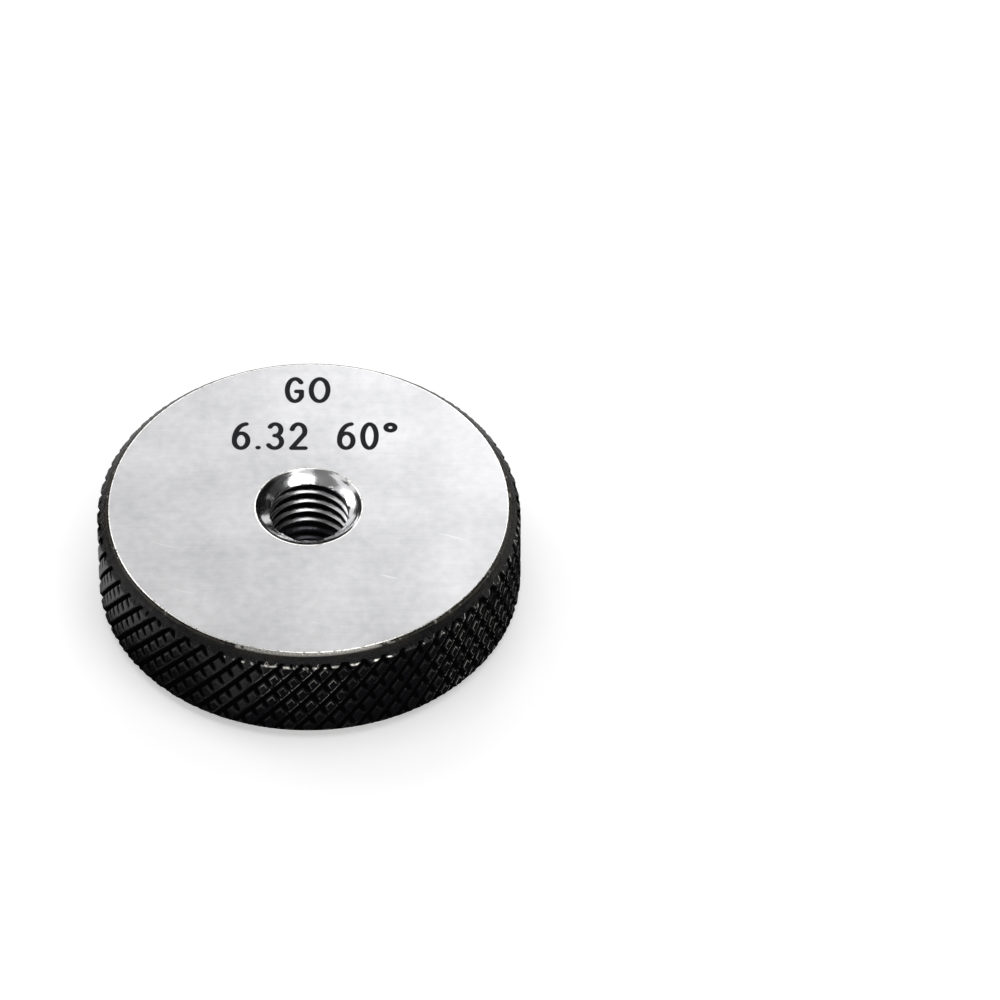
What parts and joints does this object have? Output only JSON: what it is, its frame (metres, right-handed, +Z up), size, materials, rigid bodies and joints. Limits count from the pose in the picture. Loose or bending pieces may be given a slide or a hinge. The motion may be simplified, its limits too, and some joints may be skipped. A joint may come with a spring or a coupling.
{
  "type": "thread ring gauge",
  "caption": "Solid steel thread ring gauge with a knurled rim, chamfered ends, countersunk mouths and a right-hand internal gauging thread.",
  "frame": {"origin": "centre of the underside, on the thread's axis", "axes": "+Z up along the thread's axis, out of the marked face; +Y towards the marking, which reads from -Y"},
  "size_m": [0.032, 0.032, 0.0085],
  "materials": {
    "gauge_steel": "hardened steel, ground bright on both faces and in the thread, black oxide on the knurled rim and its chamfers"
  },
  "bodies": {
    "root": {"thread_ring": "gauge_steel"}
  },
  "joints": []
}
